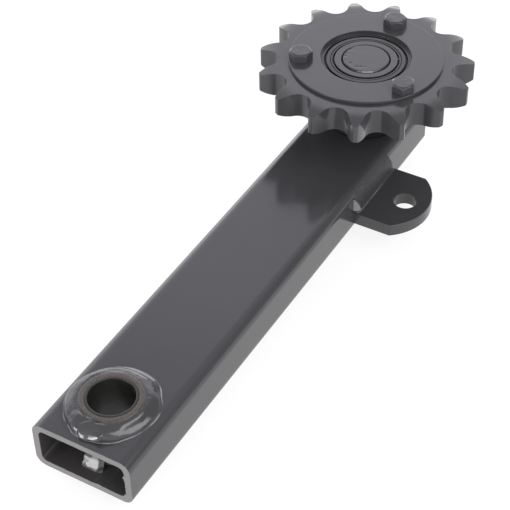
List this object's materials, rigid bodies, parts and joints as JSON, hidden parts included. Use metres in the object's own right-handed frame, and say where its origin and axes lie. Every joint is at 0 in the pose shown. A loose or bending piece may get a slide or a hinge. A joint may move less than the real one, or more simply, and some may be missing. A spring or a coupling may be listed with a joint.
{
  "type": "chain tensioner arm",
  "caption": "Rectangular tube arm with a welded pivot boss, a drilled side lug and an idler sprocket that turns on a sealed ball bearing.",
  "frame": {"origin": "on the pivot bore's axis at the mid height of the arm tube", "axes": "+X along the arm from the pivot to the sprocket, +Z along the pivot bore towards the sprocket's side, lug on the -Y side"},
  "size_m": [0.3778, 0.1335, 0.087],
  "materials": {
    "paint": "semi-gloss",
    "fasteners": "semi-gloss",
    "bush": "machined",
    "bearing_steel": "ground",
    "ball_steel": "polished",
    "cage": "matt",
    "seal": "matt"
  },
  "bodies": {
    "arm": {"arm_tube": "paint", "pivot_boss": "paint", "pivot_bush": "bush", "boss_weld_top": "paint", "boss_weld_bottom": "paint", "boss_weld_mouth": "paint", "spring_lug": "paint", "lug_weld_top": "paint", "lug_weld_bottom": "paint", "sprocket_axle": "paint", "axle_weld_top": "paint", "axle_weld_bottom": "paint", "bearing_inner_ring": "bearing_steel"},
    "sprocket_wheel": {"sprocket": "paint", "upper_disc": "paint", "lower_disc": "paint", "disc_bolts": "fasteners", "disc_nuts": "fasteners", "bearing_outer_ring": "bearing_steel", "upper_seal": "seal", "lower_seal": "seal"},
    "ball_set": {"bearing_balls": "ball_steel", "bearing_cage": "cage"}
  },
  "joints": [
    {"name": "sprocket_spin", "type": "hinge", "parent": "arm", "child": "sprocket_wheel", "pos_m": [0.282, 0, 0.0497], "axis": [0, 0, 1], "continuous": true},
    {"name": "cage_spin", "type": "hinge", "parent": "arm", "child": "ball_set", "pos_m": [0.282, 0, 0.0497], "axis": [0, 0, 1], "continuous": true}
  ],
  "couplings": [
    {"joint": "cage_spin", "follows": "sprocket_spin", "ratio": 0.6035}
  ]
}
